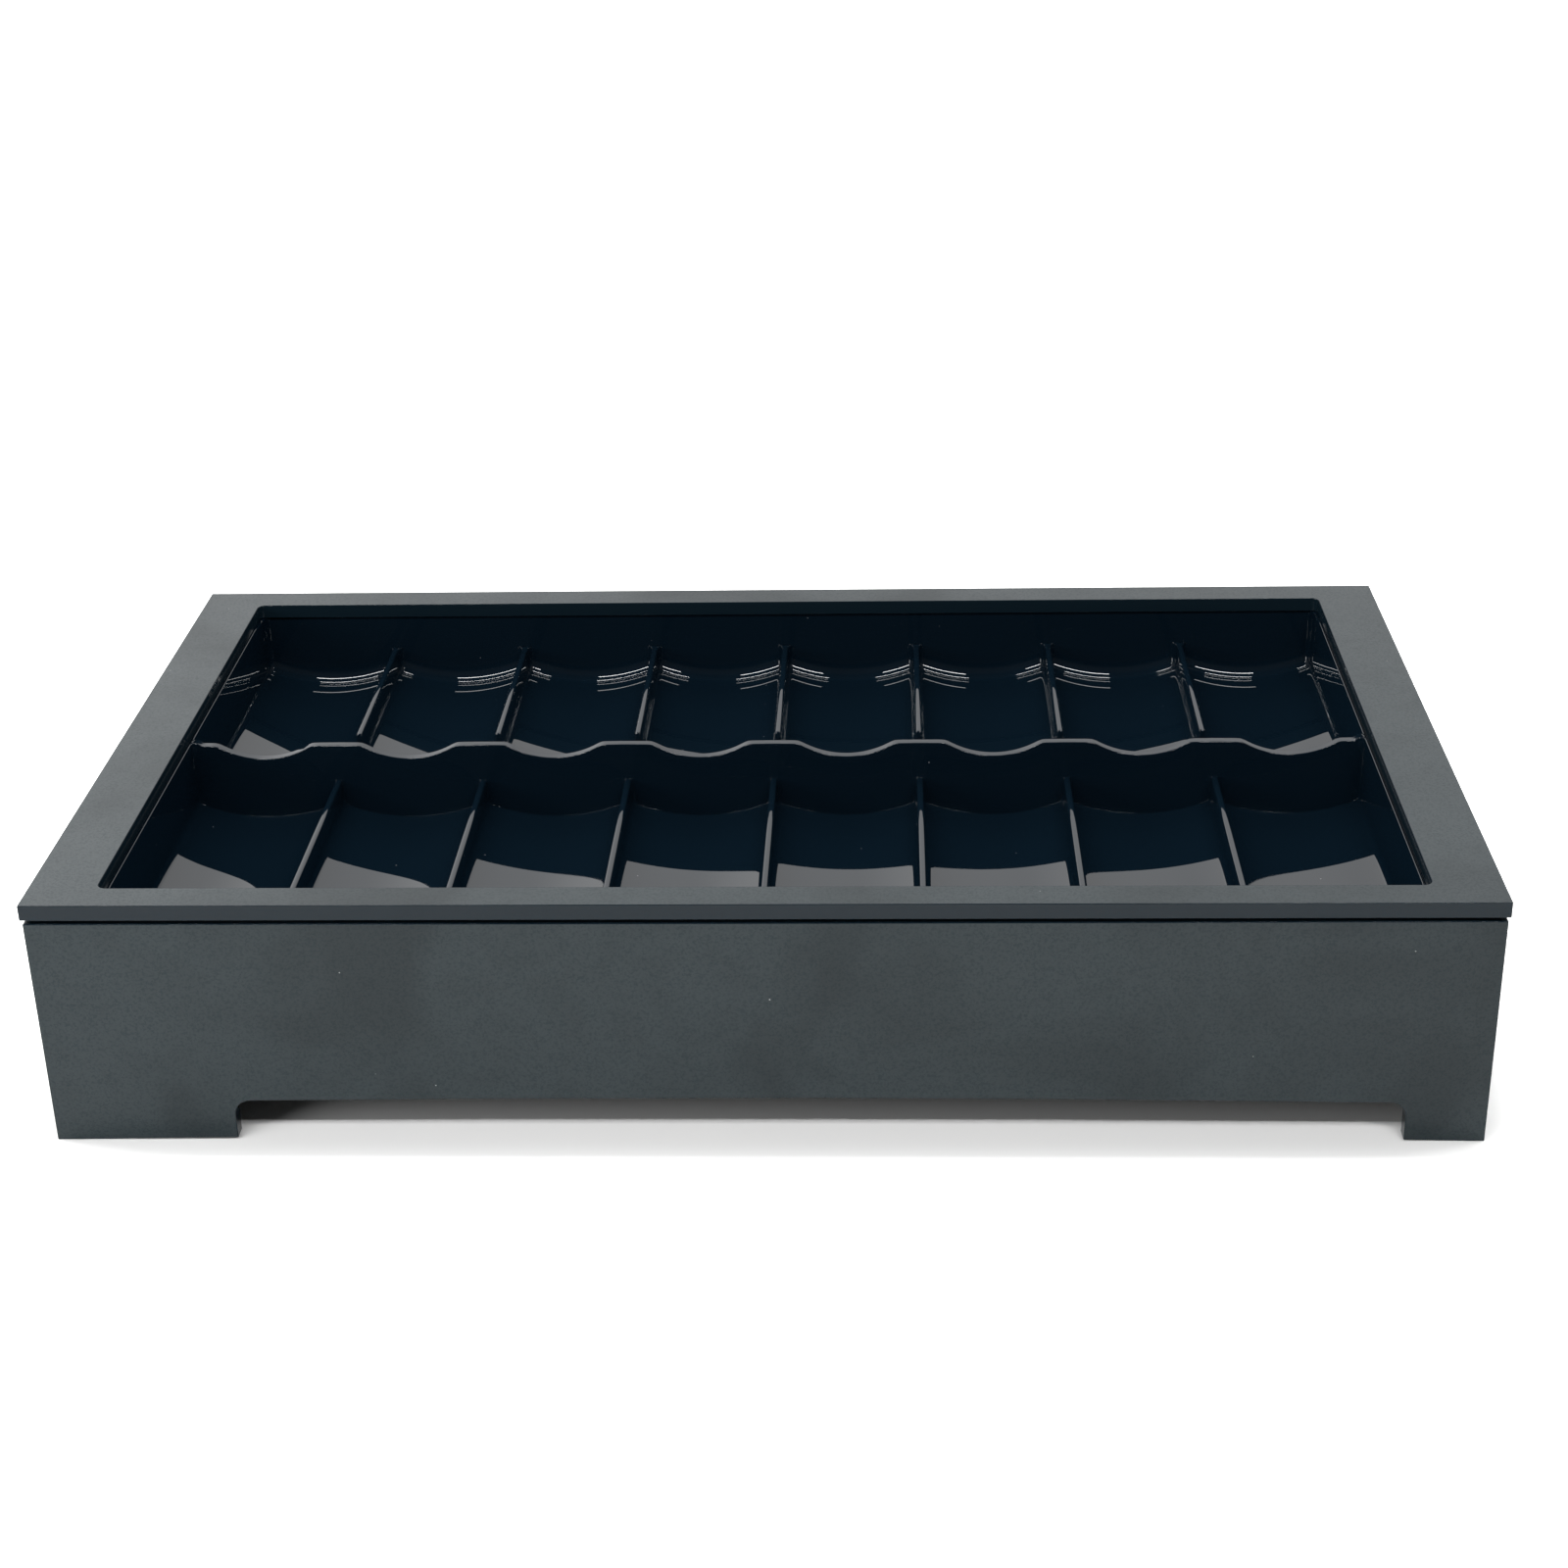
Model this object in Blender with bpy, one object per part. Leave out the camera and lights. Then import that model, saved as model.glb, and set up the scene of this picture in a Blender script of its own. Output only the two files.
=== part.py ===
# Makeup display tray: a panel base on feet, a moulded pocket insert and a lift-off top frame.
#
# Everything is in metres. +X is to the right, -Y is the front and +Z is up. The origin is on the
# table, in the middle of the tray's footprint.
#
# The sizes work from the inside out: the pockets set the insert, the insert and its clearances set
# the base, and the base sets the frame.

import math

import bmesh
import bpy
from mathutils import Matrix, Vector

# Pockets
POCKET_COLUMNS = 8
POCKET_PITCH = 0.0450
ROW_LENGTH = 0.10385
POCKET_DEPTH = 0.0240
TROUGH_RADIUS = 0.0550

# Insert walls, flange and lips
INSERT_WALL = 0.0018
INSERT_FLOOR = 0.0018
FLANGE_THICKNESS = 0.0010
FLANGE_INSET = 0.0015
LIP_HEIGHT = 0.0008

# Wall between the two rows, with a finger scallop over each pocket
CENTRE_WALL_THICKNESS = 0.0023
SCALLOP_WIDTH = 0.0290
SCALLOP_DEPTH = 0.0044

# Low dividers between the pockets
DIVIDER_THICKNESS = 0.0020
DIVIDER_DROP = 0.0115
DIVIDER_FINGER_GAP = 0.0312
DIVIDER_EDGE = 0.0003

# Base panels
PANEL_THICKNESS = 0.0045
BASE_HEIGHT = 0.0692
INSERT_TO_SIDE_PANEL = 0.0132
INSERT_TO_FRONT_PANEL = 0.00185
INSERT_TO_REAR_PANEL = 0.00315

# Cut-out that leaves two feet at the bottom of the front and rear panels
WIDE_FOOT = 0.0516
NARROW_FOOT = 0.0222
CUTOUT_HEIGHT = 0.0120
CUTOUT_RADIUS = 0.0045
LOWER_EDGE_RISE = 0.0019

# Corner blocks inside the base
BLOCK_DEPTH = 0.0120
BLOCK_CHAMFER = 0.0030
BLOCK_TABLE_GAP = 0.0020

# Top frame
FRAME_THICKNESS = 0.0046
FRAME_OVERHANG = 0.0005
WINDOW_REVEAL = 0.0010
WINDOW_LAP = 0.00155
WINDOW_CORNER_RADIUS = 0.0025

# Clearances
SEAT_GAP = 0.0002
GLUE_GAP = 0.0002
LIP_CLEARANCE = 0.0002
BLOCK_CLEARANCE = 0.0007

# Steps in round shapes
TROUGH_STEPS = 12
SCALLOP_STEPS = 12
CORNER_STEPS = 6
FOOT_STEPS = 4
CUTOUT_STEPS = 24

# Insert, in plan. Its front and rear clearances differ, so it sits a little nearer the front.
POCKETS_HALF_X = POCKET_COLUMNS * POCKET_PITCH / 2
POCKETS_HALF_Y = ROW_LENGTH + CENTRE_WALL_THICKNESS / 2
INSERT_Y = (INSERT_TO_FRONT_PANEL - INSERT_TO_REAR_PANEL) / 2
WALL_HALF_X = POCKETS_HALF_X + INSERT_WALL
WALL_HALF_Y = POCKETS_HALF_Y + INSERT_WALL

# Base and frame, in plan, both centred on the origin
INNER_HALF_X = WALL_HALF_X + INSERT_TO_SIDE_PANEL
INNER_HALF_Y = WALL_HALF_Y + (INSERT_TO_FRONT_PANEL + INSERT_TO_REAR_PANEL) / 2
BASE_HALF_X = INNER_HALF_X + PANEL_THICKNESS
BASE_HALF_Y = INNER_HALF_Y + PANEL_THICKNESS
FLANGE_HALF_X = BASE_HALF_X - FLANGE_INSET
FLANGE_HALF_Y = BASE_HALF_Y - FLANGE_INSET
FRAME_HALF_X = BASE_HALF_X + FRAME_OVERHANG
FRAME_HALF_Y = BASE_HALF_Y + FRAME_OVERHANG
WINDOW_HALF_X = POCKETS_HALF_X + WINDOW_REVEAL
WINDOW_HALF_Y = POCKETS_HALF_Y - WINDOW_LAP

# Heights
FLANGE_BOTTOM = BASE_HEIGHT + SEAT_GAP
FLANGE_MIDDLE = FLANGE_BOTTOM + FLANGE_THICKNESS / 2
FLANGE_TOP = FLANGE_BOTTOM + FLANGE_THICKNESS
FRAME_BOTTOM = FLANGE_TOP + SEAT_GAP
FRAME_TOP = FRAME_BOTTOM + FRAME_THICKNESS
LIP_TOP = FRAME_BOTTOM + LIP_HEIGHT
TROUGH_BOTTOM = FLANGE_TOP - POCKET_DEPTH
DIVIDER_TOP = FLANGE_TOP - DIVIDER_DROP


def remove_objects():
    for old in list(bpy.data.objects):
        bpy.data.objects.remove(old, do_unlink=True)


def make_material(name, colour, roughness):
    material = bpy.data.materials.new(name)
    material.use_nodes = True
    shader = material.node_tree.nodes["Principled BSDF"]
    shader.inputs["Base Color"].default_value = (*colour, 1.0)
    shader.inputs["Roughness"].default_value = roughness
    shader.inputs["Metallic"].default_value = 0.0
    return material


def add_empty(name, place):
    """An empty on the line that a body slides along."""
    empty = bpy.data.objects.new(name, None)
    empty.location = place
    empty.empty_display_size = POCKET_PITCH
    bpy.context.scene.collection.objects.link(empty)
    return empty


def set_parent(child, parent):
    """Parent without moving the child. Nothing here is turned or scaled."""
    child.parent = parent
    child.matrix_parent_inverse = Matrix.Translation(-parent.location)


def add_object(name, bm, material, parent=None):
    """Turn a bmesh in world coordinates into a named object whose origin is its parent's."""
    origin = Vector(parent.location) if parent else Vector((0.0, 0.0, 0.0))
    bmesh.ops.translate(bm, verts=bm.verts, vec=-origin)
    bmesh.ops.recalc_face_normals(bm, faces=bm.faces)
    mesh = bpy.data.meshes.new(name)
    bm.to_mesh(mesh)
    bm.free()
    mesh.materials.append(material)
    part = bpy.data.objects.new(name, mesh)
    part.location = origin
    bpy.context.scene.collection.objects.link(part)
    if parent:
        set_parent(part, parent)
    return part


def prism(outline, direction):
    """A solid made by closing an outline of points into a face and extruding it."""
    bm = bmesh.new()
    face = bm.faces.new([bm.verts.new(point) for point in outline])
    made = bmesh.ops.extrude_face_region(bm, geom=[face])
    moved = [item for item in made["geom"] if isinstance(item, bmesh.types.BMVert)]
    bmesh.ops.translate(bm, verts=moved, vec=Vector(direction))
    return bm


def box(low, high):
    """A closed box between two corners."""
    corners = ((low[0], low[1]), (high[0], low[1]), (high[0], high[1]), (low[0], high[1]))
    return prism([(x, y, low[2]) for x, y in corners], (0.0, 0.0, high[2] - low[2]))


def arc(centre, radius, start, end, steps):
    """Points (a, b) along an arc, with its angles in degrees."""
    points = []
    for step in range(steps + 1):
        angle = math.radians(start + (end - start) * step / steps)
        points.append((centre[0] + radius * math.cos(angle), centre[1] + radius * math.sin(angle)))
    return points


def rounded_rectangle(half_x, half_y, centre_y, radius):
    """Points (x, y) round a rectangle with round corners."""
    points = []
    for sign_x, sign_y, start in ((1, -1, -90), (1, 1, 0), (-1, 1, 90), (-1, -1, 180)):
        centre = (sign_x * (half_x - radius), centre_y + sign_y * (half_y - radius))
        points += arc(centre, radius, start, start + 90, CORNER_STEPS)
    return points


def combine(part, guide, operation):
    """Cut a part with a guide, or weld the guide onto it. The guide stays as a hidden outline."""
    guide.hide_render = True
    guide.display_type = "WIRE"
    set_parent(guide, part)
    modifier = part.modifiers.new(guide.name, "BOOLEAN")
    modifier.operation = operation
    modifier.solver = "EXACT"
    modifier.object = guide


def pocket_centres():
    """The X of the middle of each pocket, from left to right."""
    return [(column + 0.5) * POCKET_PITCH - POCKETS_HALF_X for column in range(POCKET_COLUMNS)]


def divider_places():
    """The X of the middle of each divider, from left to right."""
    return [column * POCKET_PITCH - POCKETS_HALF_X for column in range(1, POCKET_COLUMNS)]


def trough_height(offset):
    """Height of the floor at a sideways offset from the middle of its pocket."""
    return TROUGH_BOTTOM + TROUGH_RADIUS - math.sqrt(TROUGH_RADIUS ** 2 - offset ** 2)


def floor_profile(lift, half_width):
    """The chain of troughs from left to right as (x, z), moved by lift and ending at half_width."""
    points = []
    for centre in pocket_centres():
        first = 0 if not points else 1
        for step in range(first, TROUGH_STEPS + 1):
            offset = (step / TROUGH_STEPS - 0.5) * POCKET_PITCH
            points.append((centre + offset, trough_height(offset) + lift))
    points[0] = (-half_width, points[0][1])
    points[-1] = (half_width, points[-1][1])
    return points


def pocket_space():
    """The space inside the insert's outer walls, cut through from top to bottom."""
    low = (-POCKETS_HALF_X, INSERT_Y - POCKETS_HALF_Y, 0.0)
    return box(low, (POCKETS_HALF_X, INSERT_Y + POCKETS_HALF_Y, FRAME_TOP))


def make_insert_walls(material, parent):
    """The four outer walls of the insert. Their lower edge follows the underside of the troughs."""
    front = INSERT_Y - WALL_HALF_Y
    outline = [(x, front, z) for x, z in floor_profile(-INSERT_FLOOR, WALL_HALF_X)]
    outline += [(x, front, FLANGE_BOTTOM - GLUE_GAP) for x in (WALL_HALF_X, -WALL_HALF_X)]
    block = prism(outline, (0.0, 2 * WALL_HALF_Y, 0.0))
    walls = add_object("insert_walls", block, material, parent)
    combine(walls, add_object("guide_wall_space", pocket_space(), material), "DIFFERENCE")


def make_insert_flange(material, parent):
    """The flange that lies on the base, with a lip along the left and right of its opening."""
    low = (-FLANGE_HALF_X, -FLANGE_HALF_Y, FLANGE_BOTTOM)
    plate = box(low, (FLANGE_HALF_X, FLANGE_HALF_Y, FLANGE_TOP))
    flange = add_object("insert_flange", plate, material, parent)

    lip_half_y = WINDOW_HALF_Y - WINDOW_CORNER_RADIUS
    lip_far = WINDOW_HALF_X - LIP_CLEARANCE
    lip_near = POCKETS_HALF_X - INSERT_WALL
    for name, low_x, high_x in (("left", -lip_far, -lip_near), ("right", lip_near, lip_far)):
        low = (low_x, INSERT_Y - lip_half_y, FLANGE_MIDDLE)
        lip = box(low, (high_x, INSERT_Y + lip_half_y, LIP_TOP))
        combine(flange, add_object("guide_lip_" + name, lip, material), "UNION")
    combine(flange, add_object("guide_flange_space", pocket_space(), material), "DIFFERENCE")


def make_pocket_floor(name, centre, material, parent):
    """The trough floor of one column of pockets, from the front wall to the rear wall."""
    half = POCKET_PITCH / 2 - GLUE_GAP
    offsets = [(2 * step / TROUGH_STEPS - 1) * half for step in range(TROUGH_STEPS + 1)]
    top = [(centre + offset, trough_height(offset)) for offset in offsets]
    bottom = [(x, z - INSERT_FLOOR) for x, z in reversed(top)]
    front = INSERT_Y - POCKETS_HALF_Y + GLUE_GAP
    outline = [(x, front, z) for x, z in top + bottom]
    floor = prism(outline, (0.0, 2 * (POCKETS_HALF_Y - GLUE_GAP), 0.0))
    add_object(name, floor, material, parent)


def make_insert_tub(material, parent):
    """The outer shell of the insert: walls, flange and a floor for each column of pockets."""
    make_insert_walls(material, parent)
    make_insert_flange(material, parent)
    for number, centre in enumerate(pocket_centres(), start=1):
        make_pocket_floor(f"pocket_floor_{number}", centre, material, parent)


def scallop_points(centre):
    """The finger scallop over one pocket, from right to left."""
    radius = (SCALLOP_WIDTH ** 2 / 4 + SCALLOP_DEPTH ** 2) / (2 * SCALLOP_DEPTH)
    half_angle = math.degrees(math.asin(SCALLOP_WIDTH / 2 / radius))
    middle = (centre, FLANGE_TOP - SCALLOP_DEPTH + radius)
    return arc(middle, radius, half_angle - 90, -half_angle - 90, SCALLOP_STEPS)


def make_centre_wall(material, parent):
    """The wall between the rows, standing on the trough floor."""
    half_width = POCKETS_HALF_X - GLUE_GAP
    front = INSERT_Y - CENTRE_WALL_THICKNESS / 2
    outline = floor_profile(GLUE_GAP, half_width)
    outline.append((half_width, FLANGE_TOP))
    for centre in reversed(pocket_centres()):
        outline += scallop_points(centre)
    outline.append((-half_width, FLANGE_TOP))
    wall = prism([(x, front, z) for x, z in outline], (0.0, CENTRE_WALL_THICKNESS, 0.0))
    add_object("insert_centre_wall", wall, material, parent)


def make_divider(name, place, front, length, material, parent):
    """A low divider that stands on the ridge between two troughs."""
    half = DIVIDER_THICKNESS / 2
    foot = trough_height(POCKET_PITCH / 2) + GLUE_GAP
    outline = [
        (place - half, foot),
        (place + half, foot),
        (place + half, DIVIDER_TOP - DIVIDER_EDGE),
        (place + half - DIVIDER_EDGE, DIVIDER_TOP),
        (place - half + DIVIDER_EDGE, DIVIDER_TOP),
        (place - half, DIVIDER_TOP - DIVIDER_EDGE),
    ]
    divider = prism([(x, front, z) for x, z in outline], (0.0, length, 0.0))
    add_object(name, divider, material, parent)


def make_dividers(material, parent):
    """Seven dividers in each row. Each ends a finger's width behind the wall in front of it."""
    length = ROW_LENGTH - DIVIDER_FINGER_GAP - GLUE_GAP
    row_fronts = {
        "front": INSERT_Y - POCKETS_HALF_Y,
        "back": INSERT_Y + CENTRE_WALL_THICKNESS / 2,
    }
    for row, row_front in row_fronts.items():
        for number, place in enumerate(divider_places(), start=1):
            name = f"{row}_divider_{number}"
            make_divider(name, place, row_front + DIVIDER_FINGER_GAP, length, material, parent)


def lower_edge(x):
    """How far the panel's lower edge bows up at x."""
    return LOWER_EDGE_RISE * (1 - (x / BASE_HALF_X) ** 2)


def panel_outline():
    """Front panel as (x, z), with its feet and its cut-out, from the left corner to the right."""
    foot_left = -BASE_HALF_X + WIDE_FOOT
    foot_right = BASE_HALF_X - NARROW_FOOT
    corner_z = CUTOUT_HEIGHT - CUTOUT_RADIUS
    span = foot_right - foot_left - 2 * CUTOUT_RADIUS
    flat = [(-BASE_HALF_X + WIDE_FOOT * step / FOOT_STEPS, 0.0) for step in range(FOOT_STEPS + 1)]
    flat += arc((foot_left + CUTOUT_RADIUS, corner_z), CUTOUT_RADIUS, 180, 90, CORNER_STEPS)
    for step in range(1, CUTOUT_STEPS):
        flat.append((foot_left + CUTOUT_RADIUS + span * step / CUTOUT_STEPS, CUTOUT_HEIGHT))
    flat += arc((foot_right - CUTOUT_RADIUS, corner_z), CUTOUT_RADIUS, 90, 0, CORNER_STEPS)
    for step in range(FOOT_STEPS + 1):
        flat.append((foot_right + NARROW_FOOT * step / FOOT_STEPS, 0.0))
    outline = [(x, z + lower_edge(x)) for x, z in flat]
    return outline + [(BASE_HALF_X, BASE_HEIGHT), (-BASE_HALF_X, BASE_HEIGHT)]


def make_cutout_panel(name, turned, material):
    """The front panel or, turned round, the rear panel, which is the same piece."""
    sign = -1 if turned else 1
    outline = [(sign * x, -sign * BASE_HALF_Y, z) for x, z in panel_outline()]
    panel = prism(outline, (0.0, sign * PANEL_THICKNESS, 0.0))
    add_object(name, panel, material)


def make_side_panel(name, sign, material):
    """A plain side panel between the front and rear panels."""
    half_length = INNER_HALF_Y - GLUE_GAP
    edges = sorted((sign * INNER_HALF_X, sign * BASE_HALF_X))
    panel = box((edges[0], -half_length, 0.0), (edges[1], half_length, BASE_HEIGHT))
    add_object(name, panel, material)


def make_corner_block(name, sign_x, sign_y, material):
    """A block in an inside corner. It backs the glued corner and guides the insert."""
    near_x = WALL_HALF_X + BLOCK_CLEARANCE
    far_x = INNER_HALF_X - GLUE_GAP
    far_y = INNER_HALF_Y - GLUE_GAP
    near_y = far_y - BLOCK_DEPTH
    plan = [
        (near_x, far_y),
        (far_x, far_y),
        (far_x, near_y),
        (near_x + BLOCK_CHAMFER, near_y),
        (near_x, near_y + BLOCK_CHAMFER),
    ]
    outline = [(sign_x * x, sign_y * y, BLOCK_TABLE_GAP) for x, y in plan]
    add_object(name, prism(outline, (0.0, 0.0, BASE_HEIGHT - BLOCK_TABLE_GAP)), material)


def make_base(material, block_material):
    make_cutout_panel("base_front_panel", False, material)
    make_cutout_panel("base_rear_panel", True, material)
    for side, sign_x in (("left", -1), ("right", 1)):
        make_side_panel(f"base_{side}_panel", sign_x, material)
        for end, sign_y in (("front", -1), ("rear", 1)):
            make_corner_block(f"corner_block_{end}_{side}", sign_x, sign_y, block_material)


def make_top_frame(material, parent):
    """The sheet on top, with its window."""
    low = (-FRAME_HALF_X, -FRAME_HALF_Y, FRAME_BOTTOM)
    sheet = box(low, (FRAME_HALF_X, FRAME_HALF_Y, FRAME_TOP))
    frame = add_object("top_frame", sheet, material, parent)
    window = rounded_rectangle(WINDOW_HALF_X, WINDOW_HALF_Y, INSERT_Y, WINDOW_CORNER_RADIUS)
    outline = [(x, y, FLANGE_BOTTOM) for x, y in window]
    cutter = prism(outline, (0.0, 0.0, 2 * FRAME_THICKNESS + FLANGE_THICKNESS))
    combine(frame, add_object("guide_window", cutter, material), "DIFFERENCE")


def main():
    remove_objects()
    satin_black = make_material("satin_black", (0.055, 0.060, 0.063), 0.45)
    gloss_black = make_material("gloss_black", (0.006, 0.007, 0.009), 0.06)
    plain_black = make_material("plain_black", (0.030, 0.032, 0.034), 0.40)

    insert_axis = add_empty("insert_lift_axis", (0.0, INSERT_Y, FLANGE_BOTTOM))
    frame_axis = add_empty("frame_lift_axis", (0.0, 0.0, FRAME_BOTTOM))

    make_base(satin_black, plain_black)
    make_insert_tub(gloss_black, insert_axis)
    make_centre_wall(gloss_black, insert_axis)
    make_dividers(gloss_black, insert_axis)
    make_top_frame(satin_black, frame_axis)


main()
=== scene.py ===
# Makeup display tray, dressed for its picture: a glossy pocket insert in a satin black base, under
# a loose satin black frame. Metres, +Z up, front at -Y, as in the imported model.

import math

import bmesh
import bpy
from mathutils import Matrix, Vector


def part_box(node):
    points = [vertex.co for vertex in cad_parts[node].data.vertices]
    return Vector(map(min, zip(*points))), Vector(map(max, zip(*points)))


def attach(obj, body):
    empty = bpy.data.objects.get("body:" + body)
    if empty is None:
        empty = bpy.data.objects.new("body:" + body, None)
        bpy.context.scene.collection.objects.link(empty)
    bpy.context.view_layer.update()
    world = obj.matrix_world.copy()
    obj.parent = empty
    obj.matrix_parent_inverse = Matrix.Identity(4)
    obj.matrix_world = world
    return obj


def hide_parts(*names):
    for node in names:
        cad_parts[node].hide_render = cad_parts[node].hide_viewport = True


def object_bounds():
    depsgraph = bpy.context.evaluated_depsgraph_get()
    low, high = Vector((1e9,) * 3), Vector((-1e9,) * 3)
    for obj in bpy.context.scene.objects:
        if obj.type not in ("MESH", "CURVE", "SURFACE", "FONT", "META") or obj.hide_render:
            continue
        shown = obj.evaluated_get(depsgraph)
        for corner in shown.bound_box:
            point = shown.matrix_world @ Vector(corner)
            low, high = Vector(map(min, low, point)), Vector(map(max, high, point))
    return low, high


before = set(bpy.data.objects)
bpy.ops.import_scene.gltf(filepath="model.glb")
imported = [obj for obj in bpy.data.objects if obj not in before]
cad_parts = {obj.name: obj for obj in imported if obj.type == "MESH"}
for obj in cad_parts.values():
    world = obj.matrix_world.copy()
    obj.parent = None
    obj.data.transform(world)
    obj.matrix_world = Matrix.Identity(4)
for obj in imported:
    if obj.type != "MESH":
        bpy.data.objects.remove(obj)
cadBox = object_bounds()

print("stage: studio")

studio = {
    "sensorWidth": 36.0,
    "lensLength": 59.991,
    "cameraPlace": (0.0355465, -0.7275961, 0.4065093),
    "cameraYaw": -2.5579,         # degrees, towards +X
    "cameraPitch": 25.7177,       # degrees, below the horizon
    "cameraRoll": -1.3545,        # degrees, anticlockwise
    "nearest": 0.05,              # the camera sees nothing closer than this
    "lamps": {                    # place, target, width and height, watts, shown in reflections
        "frontKey": ((0.05, -0.95, 1.30), (0.0, -0.05, 0.0), (1.0, 0.14), 8.3, False),
        "leftBank": ((-0.70, 0.05, 1.49), (-0.70, 0.10, 0.05), (0.80, 0.06), 9.0, True),
        "leftBankLow": ((-0.70, -0.92, 1.07), (-0.70, 0.10, 0.05), (0.80, 0.06), 7.0, True),
        "rightBank": ((0.57, 0.05, 1.52), (0.57, 0.10, 0.05), (0.60, 0.06), 7.5, True),
        "rightBankLow": ((0.57, -0.95, 1.10), (0.57, 0.10, 0.05), (0.60, 0.06), 5.5, True),
        "leftSide": ((-0.95, -0.70, 0.40), (-0.1, -0.1, 0.05), (0.60, 0.40), 5.0, True),
    },
}


def newObject(name, mesh):
    made = bpy.data.objects.new(name, mesh)
    bpy.context.scene.collection.objects.link(made)
    return made


def addCamera():
    angles = ("cameraYaw", "cameraPitch", "cameraRoll")
    yaw, pitch, roll = (math.radians(studio[key]) for key in angles)
    flat = math.cos(pitch)
    ahead = Vector((math.sin(yaw) * flat, math.cos(yaw) * flat, -math.sin(pitch)))
    level = Vector((math.cos(yaw), -math.sin(yaw), 0.0))
    upward = level.cross(ahead)
    right = math.cos(roll) * level + math.sin(roll) * upward
    up = math.cos(roll) * upward - math.sin(roll) * level
    data = bpy.data.cameras.new("photoCamera")
    data.sensor_width = studio["sensorWidth"]
    data.lens = studio["lensLength"]
    data.clip_start = studio["nearest"]
    camera = newObject("photoCamera", data)
    turn = Matrix((right, up, -ahead)).transposed().to_4x4()
    camera.matrix_world = Matrix.Translation(studio["cameraPlace"]) @ turn
    bpy.context.scene.camera = camera


def addLamp(name, place, target, size, power, shown):
    data = bpy.data.lights.new(name, "AREA")
    data.shape = "RECTANGLE"
    data.size, data.size_y = size
    data.energy = power
    lamp = newObject(name, data)
    lamp.location = place
    lamp.rotation_euler = (Vector(target) - Vector(place)).to_track_quat("-Z", "Y").to_euler()
    lamp.visible_glossy = shown


def addMath(nodes, links, operation, *values):
    node = nodes.new("ShaderNodeMath")
    node.operation = operation
    for socket, value in zip(node.inputs, values):
        if isinstance(value, float):
            socket.default_value = value
        else:
            links.new(value, socket)
    return node.outputs[0]


def addRamp(nodes, links, value, start, end, low=0.0, high=1.0):
    node = nodes.new("ShaderNodeMapRange")
    node.interpolation_type = "SMOOTHSTEP"
    for name, number in (("From Min", start), ("From Max", end), ("To Min", low), ("To Max", high)):
        node.inputs[name].default_value = number
    links.new(value, node.inputs["Value"])
    return node.outputs["Result"]


# Brightness by direction. A fade's two numbers are where it starts and ends along an axis.
surroundings = {
    "paperBehind": (1.03, 1.93),  # white paper behind the tray, and further round to the left
    "paperRise": (0.72, 1.55),    # share of that light low down, and high up
    "roomAhead": (0.10, 0.032),   # the room in front: its light, and how it looks in reflections
    "roomAbove": 0.02,
    "behindFade": (-0.25, 0.25),  # along Y, from the room to the paper
    "leftFade": (-0.60, -0.05),   # along X, from the left to the middle
    "riseFade": (0.10, 0.75),     # along Z
    "paperTop": (0.70, 0.92),     # along Z, where the paper ends
    "roomTop": (0.45, 0.75),      # along Z, where the room's light ends
}


# White paper behind the tray, a dim room in front of it and dark above. The camera sees only white.
def addWorld():
    world = bpy.data.worlds.new("softRoom")
    bpy.context.scene.world = world
    world.use_nodes = True
    nodes, links = world.node_tree.nodes, world.node_tree.links
    nodes.clear()
    output = nodes.new("ShaderNodeOutputWorld")
    background = nodes.new("ShaderNodeBackground")
    background.inputs["Color"].default_value = (1.0, 1.0, 1.0, 1.0)
    rays = nodes.new("ShaderNodeLightPath")
    parts = nodes.new("ShaderNodeSeparateXYZ")
    links.new(nodes.new("ShaderNodeTexCoord").outputs["Generated"], parts.inputs[0])
    along = parts.outputs
    middle, left = surroundings["paperBehind"]
    behind = addRamp(nodes, links, along["Y"], *surroundings["behindFade"])
    ahead = addMath(nodes, links, "SUBTRACT", 1.0, behind)
    aside = addRamp(nodes, links, along["X"], *surroundings["leftFade"], left, middle)
    below = addRamp(nodes, links, along["Z"], *surroundings["paperTop"], 1.0, 0.0)
    rise = addRamp(nodes, links, along["Z"], *surroundings["riseFade"], *surroundings["paperRise"])
    paper = addMath(nodes, links, "MULTIPLY", addMath(nodes, links, "MULTIPLY", aside, below), rise)
    room = addRamp(nodes, links, along["Z"], *surroundings["roomTop"], 1.0, 0.0)
    strength = nodes.new("ShaderNodeMix")
    for name, value in zip(("A", "B"), surroundings["roomAhead"]):
        strength.inputs[name].default_value = value
    links.new(rays.outputs["Is Glossy Ray"], strength.inputs["Factor"])
    room = addMath(nodes, links, "MULTIPLY", room, strength.outputs["Result"])
    paper = addMath(nodes, links, "MULTIPLY", behind, paper)
    room = addMath(nodes, links, "MULTIPLY", ahead, room)
    low = addMath(nodes, links, "ADD", paper, room)
    light = addMath(nodes, links, "ADD", low, surroundings["roomAbove"])
    seen = nodes.new("ShaderNodeMix")
    seen.inputs["B"].default_value = 1.0
    links.new(rays.outputs["Is Camera Ray"], seen.inputs["Factor"])
    links.new(light, seen.inputs["A"])
    links.new(seen.outputs["Result"], background.inputs["Strength"])
    links.new(background.outputs[0], output.inputs[0])


floorPaper = {
    "half": 6.0,
    "colour": (0.89, 0.89, 0.885),
    "roughness": 0.9,
    "specular": 0.1,
    "shadowReach": 0.035,         # how far from the tray its shadow on the paper is kept
}


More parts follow.
